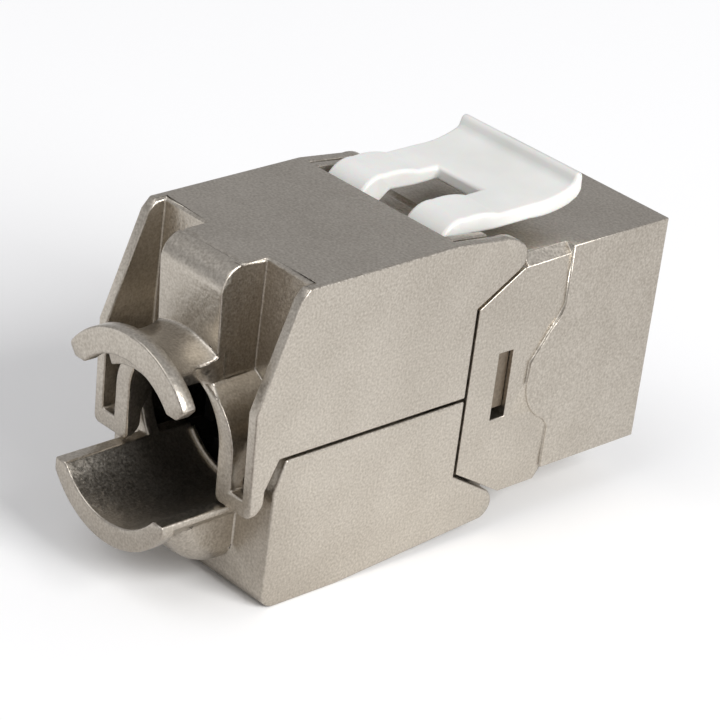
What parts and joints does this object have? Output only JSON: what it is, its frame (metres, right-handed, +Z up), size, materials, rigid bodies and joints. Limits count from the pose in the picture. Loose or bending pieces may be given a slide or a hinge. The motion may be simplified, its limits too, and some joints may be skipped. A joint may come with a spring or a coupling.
{
  "type": "keystone jack",
  "caption": "Shielded toolless keystone jack: metal box with a plug socket, white snap latch and two hinged wire covers with a cable yoke.",
  "frame": {"origin": "on the plane of symmetry, halfway between the plug face and the cable end, at the height of the lowest part of the underside", "axes": "+X across the jack, +Y from the plug face to the cable end, +Z up towards the snap latch"},
  "size_m": [0.0148, 0.0378, 0.0223],
  "materials": {
    "nickel_plated_zinc": "satin",
    "white_plastic": "satin",
    "black_plastic": "matte",
    "green_board": "satin",
    "spring_steel": "satin",
    "gold_plated_bronze": "polished",
    "tinned_bronze": "satin"
  },
  "bodies": {
    "jack_body": {"front_housing": "nickel_plated_zinc", "socket_insert": "black_plastic", "circuit_board": "green_board", "terminal_block": "black_plastic", "spring_contact_1": "gold_plated_bronze", "spring_contact_2": "gold_plated_bronze", "spring_contact_3": "gold_plated_bronze", "spring_contact_4": "gold_plated_bronze", "spring_contact_5": "gold_plated_bronze", "spring_contact_6": "gold_plated_bronze", "spring_contact_7": "gold_plated_bronze", "spring_contact_8": "gold_plated_bronze", "idc_terminal_1": "tinned_bronze", "idc_terminal_2": "tinned_bronze", "idc_terminal_3": "tinned_bronze", "idc_terminal_4": "tinned_bronze", "idc_terminal_5": "tinned_bronze", "idc_terminal_6": "tinned_bronze", "idc_terminal_7": "tinned_bronze", "idc_terminal_8": "tinned_bronze", "left_shield_spring": "spring_steel", "right_shield_spring": "spring_steel", "left_upper_hinge_pin": "spring_steel", "right_upper_hinge_pin": "spring_steel", "left_lower_hinge_pin": "spring_steel", "right_lower_hinge_pin": "spring_steel"},
    "upper_cover_body": {"upper_cover": "nickel_plated_zinc", "upper_wire_presser": "black_plastic"},
    "lower_cover_body": {"lower_cover": "nickel_plated_zinc", "lower_wire_presser": "black_plastic"},
    "latch_body": {"keystone_latch": "white_plastic"}
  },
  "joints": [
    {"name": "upper_cover_hinge", "type": "hinge", "parent": "jack_body", "child": "upper_cover_body", "pos_m": [0, -0.0054, 0.01895], "axis": [1, 0, 0], "range_deg": [0, 100]},
    {"name": "lower_cover_hinge", "type": "hinge", "parent": "jack_body", "child": "lower_cover_body", "pos_m": [0, -0.0054, 0.00195], "axis": [1, 0, 0], "range_deg": [-100, 0]},
    {"name": "latch_flex", "type": "hinge", "parent": "jack_body", "child": "latch_body", "pos_m": [0, -0.0015, 0.0185], "axis": [1, 0, 0], "range_deg": [0, 6], "stiffness_Nm_per_rad": 0.4}
  ]
}
